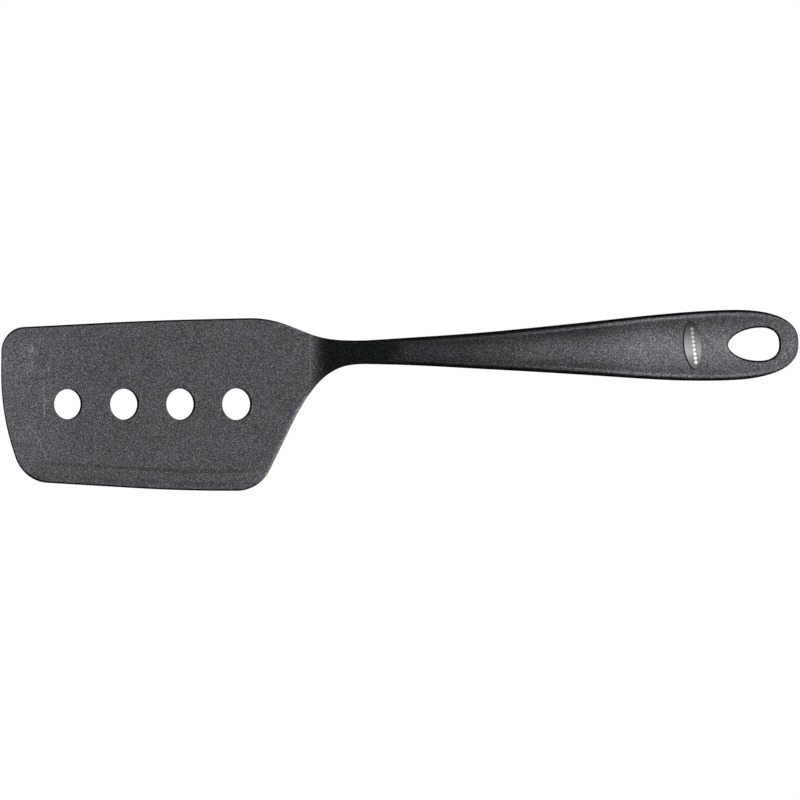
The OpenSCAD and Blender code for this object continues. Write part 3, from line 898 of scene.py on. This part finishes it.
def cap_outline():
    """Outline of the grip's end between its two widest points, and its inward directions."""
    angles = np.linspace(0, math.pi, 75)[1:-1]
    cosines = np.cos(angles)
    points = np.stack([PEAK + CAP_LENGTH * np.abs(np.sin(angles)) ** (2 / CAP_POWER),
                       HALF_GRIP * np.sign(cosines) * np.abs(cosines) ** (2 / CAP_POWER)], -1)
    full = np.concatenate([[[PEAK, HALF_GRIP]], points, [[PEAK, -HALF_GRIP]]])
    points, tangents = resample(full, OUTLINE_STEP)
    return points[1:-1], right_of(tangents[1:-1])


CAP_POINTS, CAP_INWARD = cap_outline()


def ring_plan(share, extra=0.0):
    """Ring at share of the rim width plus extra inside the outline: plan, distance from the outline."""
    def flank(sign, stations):
        depth = eased(RIMS, stations) * share + extra
        half = half_width(stations, sign) - depth / edge_cosine(stations, sign)
        return np.stack([stations, sign * half], -1), depth

    near, near_depth = flank(1, SIDE_STATIONS)
    cap_depth = eased(RIMS, CAP_POINTS[:, 0]) * share + extra
    cap = CAP_POINTS + CAP_INWARD * cap_depth[:, None]
    far, far_depth = flank(-1, SIDE_STATIONS[::-1])
    return np.concatenate([near, cap, far]), np.concatenate([near_depth, cap_depth, far_depth])


def root_row(plan):
    """Points that close a ring's open end at the root, from the far side to the near side."""
    across = np.linspace(plan[0][1], plan[-1][1], 34)[1:-1]
    return np.stack([GAP + 0 * across, across], -1)[::-1]


def eye_outline():
    """Egg with its point towards the blade, and its outward directions, in the eye's seat."""
    angles = np.linspace(0, 2 * math.pi, 240, endpoint=False)
    cosine, sine = np.cos(angles), np.sin(angles)
    a = np.where(cosine < 0, EYE_NOSE * cosine, EYE_TAIL * np.sign(cosine) * np.abs(cosine) ** .9)
    b = EYE_WIDTH / 2 * np.sign(sine) * np.abs(sine) ** np.where(cosine < 0, 1.12, .8)
    egg, tangents = resample(np.concatenate([np.stack([a, b], -1), [[a[0], b[0]]]]), 0.4)
    tangents[0] = [0.0, 1.0]
    return egg[:-1], right_of(tangents[:-1])


def add_eye(skin):
    """Hanging eye; returns the plan and ids of its top loop, then of its bottom loop."""
    egg, outward = eye_outline()

    def eye_ring(skin_height, extra):
        """Where the drafted wall, grown by extra, meets a skin."""
        grow = np.full(len(egg), 0.4)
        for _ in range(6):
            wall = egg + outward * (grow + extra)[:, None]
            plan = EYE_SEAT.pierce(*wall.T, skin_height)
            height = EYE_SEAT.coords(handle_point(*plan, skin_height(*plan)))[2]
            grow = np.abs(height - EYE_WAIST) * math.tan(EYE_DRAFT)
        return plan

    rim, under = [], []
    for aside, down in quarter_round(6):
        top = eye_ring(top_skin, EYE_ROUND * aside)
        rim.append(skin.add(on_top(*top, EYE_ROUND * down)))
    for aside, down in quarter_round(5):
        low = eye_ring(under_skin, EYE_UNDER_ROUND * aside)
        under.append(skin.add(on_under(*low, EYE_UNDER_ROUND * down)))
    waist = skin.add(EYE_SEAT.point(*egg.T, EYE_WAIST))
    skin.bore(rim, waist, under)
    return np.stack(top, -1), rim[-1], np.stack(low, -1), under[-1]


def add_pocket(skin):
    """Pocket for the badge; returns the plan and ids of its top loop."""
    rings = []
    for aside, down in quarter_round(5):
        plan = BADGE_SEAT.pierce(*oval(POCKET_GROW + POCKET_ROUND * aside).T, top_skin)
        rings.append(skin.add(on_top(*plan, POCKET_ROUND * down)))
    floor_off = -BADGE_THICK - GAP
    floor_ring = skin.add(BADGE_SEAT.point(*oval(POCKET_GROW).T, floor_off))
    skin.base(rings, floor_ring, BADGE_SEAT.point(0.0, 0.0, floor_off))
    return np.stack(plan, -1), rings[-1]


def build_handle():
    skin = Skin()
    top = []
    insets = [(aside, 0.0) for aside, _ in quarter_round(10)] + [(1.0, 0.2), (1.0, 0.45)]
    for share, extra in insets:
        top_plan, distance = ring_plan(share, extra)
        off = top_skin(*top_plan.T, distance)
        top.append(skin.add(handle_point(*top_plan.T, off)))
    under = [top[0]]
    for aside, _ in quarter_round(10)[1:]:
        under_plan, _ = ring_plan(aside)
        under.append(skin.add(on_under(*under_plan.T)))
    skin.bands(top)
    skin.bands(under, flip=True)

    eye_top, eye_top_ids, eye_under, eye_under_ids = add_eye(skin)
    pocket, pocket_ids = add_pocket(skin)

    root_top = root_row(top_plan)
    root_ids = skin.add(on_top(*root_top.T))
    across = spread((-19, 0.56), (19, None))
    grid = lattice(np.concatenate([ROOT_STATIONS[1:], np.linspace(3.4, HANDLE_LENGTH, 250)]), across)
    skin.sheet([np.concatenate([top_plan, root_top]), eye_top, pocket],
               [top[-1], root_ids, eye_top_ids, pocket_ids], grid, 0.30, on_top)
    root_under = root_row(under_plan)
    root_under_ids = skin.add(on_under(*root_under.T))
    along = np.concatenate([[.5, 1.1, 1.8, 2.6], np.linspace(3.4, HANDLE_LENGTH, 170)])
    grid = lattice(along, spread((-19, 0.8), (19, None)))
    skin.sheet([np.concatenate([under_plan, root_under]), eye_under],
               [under[-1], root_under_ids, eye_under_ids], grid, 0.42, on_under, flip=True)
    # root face, against the blade
    face = [ring[0] for ring in top] + list(root_ids[::-1])
    face += [ring[-1] for ring in top[::-1] + under[1:]] + list(root_under_ids)
    face += [ring[0] for ring in under[:0:-1]]
    skin.faces.append(tuple(face))
    skin.build("handle", HANDLE_MATERIAL)


# ---------------------------------------------------------------- badge
DISH_RADIUS = (HALF_GRIP - RIM_WIDTH) ** 2 / (2 * DISH)
DOT_PITCH = 1.55
DOTS = [(0.4, (i - 4) * DOT_PITCH) for i in range(9)]
BADGE_ROUND = 0.19 - 0.11 * OVAL_COS


def badge_top(a, b):
    """Polished face: follows the grip's dish, a little proud, with a row of small raised dots."""
    y = a * math.sin(BADGE_TURN) + b * math.cos(BADGE_TURN) + BADGE_ACROSS
    height = 0.15 + y * y / (2 * DISH_RADIUS)
    for dot_a, dot_b in DOTS:
        height = height + 0.12 * (1 - smooth(np.hypot(a - dot_a, b - dot_b), 0.46, 0.72))
    return height


def on_badge(a, b, drop=0.0):
    return BADGE_SEAT.point(a, b, badge_top(a, b) - drop)


def build_badge():
    skin = Skin()
    rings = []
    for aside, down in quarter_round(7):
        plan = oval(-BADGE_ROUND * aside)
        rings.append(skin.add(on_badge(*plan.T, BADGE_ROUND * down)))
    low = skin.add(BADGE_SEAT.point(*oval(0.0).T, -BADGE_THICK))
    skin.base(rings, low, BADGE_SEAT.point(0.0, 0.0, -BADGE_THICK), flip=True)
    grid = lattice(spread((-3.6, 0.15), (3.6, None)), spread((-9.4, 0.15), (9.4, None)))
    skin.sheet([plan], [rings[-1]], grid, 0.14, on_badge)
    badge = skin.build("badge", BADGE_MATERIAL, sharp_angle=60)

    # the dots on the upper face, for the material's painted highlight
    places = np.empty(3 * len(badge.data.vertices))
    badge.data.vertices.foreach_get("co", places)
    a, b, c = BADGE_SEAT.coords(places.reshape(-1, 3) / MM - SHIFT)
    shares = [1 - smooth(np.hypot(a - dot_a, b - dot_b), 0.50, 0.74) for dot_a, dot_b in DOTS]
    set_attribute(badge, "dot", np.max(shares, axis=0) * (c > -0.3))


# ---------------------------------------------------------------- surroundings
def build_floor(half=6.0):
    """Glowing pale floor for the camera, nearly black for all other rays."""
    mesh = bpy.data.meshes.new("floor")
    corners = [(-half, -half, 0), (half, -half, 0), (half, half, 0), (-half, half, 0)]
    mesh.from_pydata(corners, [], [(0, 1, 2, 3)])
    floor = bpy.data.objects.new("floor", mesh)
    floor.location.z = -0.00002         # just under the tool
    bpy.context.scene.collection.objects.link(floor)

    material = bpy.data.materials.new("floor_pale")
    shader = Shader(material)
    facing = shader.node("LayerWeight", {"Blend": 0.5}).outputs["Facing"]
    from_above = shader.glow("Emission", strength=1.02)
    pale = shader.diffuse((0.82, 0.82, 0.82))
    dark = shader.diffuse((0.02, 0.02, 0.0205))
    slanted = shader.remap(facing, (0.02, 0.25), (0.0, 1.0))
    from_side = shader.mix(0.45, shader.glow("Emission", strength=1.18), pale)
    seen = shader.mix(slanted, from_above, from_side)
    shader.finish(shader.camera_mix(dark, seen))
    mesh.materials.append(material)
    floor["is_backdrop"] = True


def build_world():
    """White to the camera; lights the tool with a dim dome, a brighter low band and a glow at +X, -Y."""
    world = bpy.data.worlds.new("studio")
    bpy.context.scene.world = world
    shader = Shader(world, "OutputWorld")
    calc, remap = shader.calc, shader.remap
    way = shader.split(shader.node("TexCoord").outputs["Generated"])
    band = remap(way["Z"], (0.42, 0.62), (0.27, 0.034))
    sideways = calc("ADD", calc("MULTIPLY", way["X"], 0.88), calc("MULTIPLY", way["Y"], -0.47))
    side_glow = calc("MULTIPLY", remap(sideways, (0.72, 0.97), (0, 1.8)),
                     remap(way["Z"], (0.35, 0.5), (1, 0)))
    seen = shader.glow("Background", strength=1.0)
    lit = shader.glow("Background", strength=calc("ADD", band, side_glow), colour=(0.97, 0.985, 1))
    shader.finish(shader.camera_mix(lit, seen))


def add_softbox(name, tilt_x, tilt_y, width, strength):
    """A far softbox: tilts off the vertical towards +X and +Y, and its width, in degrees."""
    light = bpy.data.lights.new(name, "SUN")
    light.angle = math.radians(width)
    light.energy = strength
    lamp = bpy.data.objects.new(name, light)
    tilts = math.tan(math.radians(tilt_x)), math.tan(math.radians(tilt_y))
    towards = Vector((*tilts, 1)).normalized()
    lamp.rotation_mode = "QUATERNION"
    lamp.rotation_quaternion = towards.to_track_quat("Z", "Y")
    lamp.location = towards * 2
    bpy.context.scene.collection.objects.link(lamp)


def add_camera(view_width, offset, height):
    """Straight above, looking down; offset is from the middle of the tool's box. In metres."""
    scene = bpy.context.scene
    scene.view_settings.view_transform = "Standard"
    scene.view_settings.look = "None"
    data = bpy.data.cameras.new("camera")
    data.type = "ORTHO"
    data.ortho_scale = view_width
    data.clip_start, data.clip_end = 0.01, 10
    camera = bpy.data.objects.new("camera", data)
    scene.collection.objects.link(camera)
    low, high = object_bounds()
    middle = (np.array(low) + np.array(high)) / 2
    camera.location = (float(middle[0]) + offset[0], float(middle[1]) + offset[1], height)
    scene.camera = camera


build_blade()
build_handle()
build_badge()
build_floor()
build_world()
add_softbox("softbox", tilt_x=20.5, tilt_y=3.0, width=30, strength=2.8)
add_camera(view_width=0.29596, offset=(0.00010, 0.00012), height=2.0)
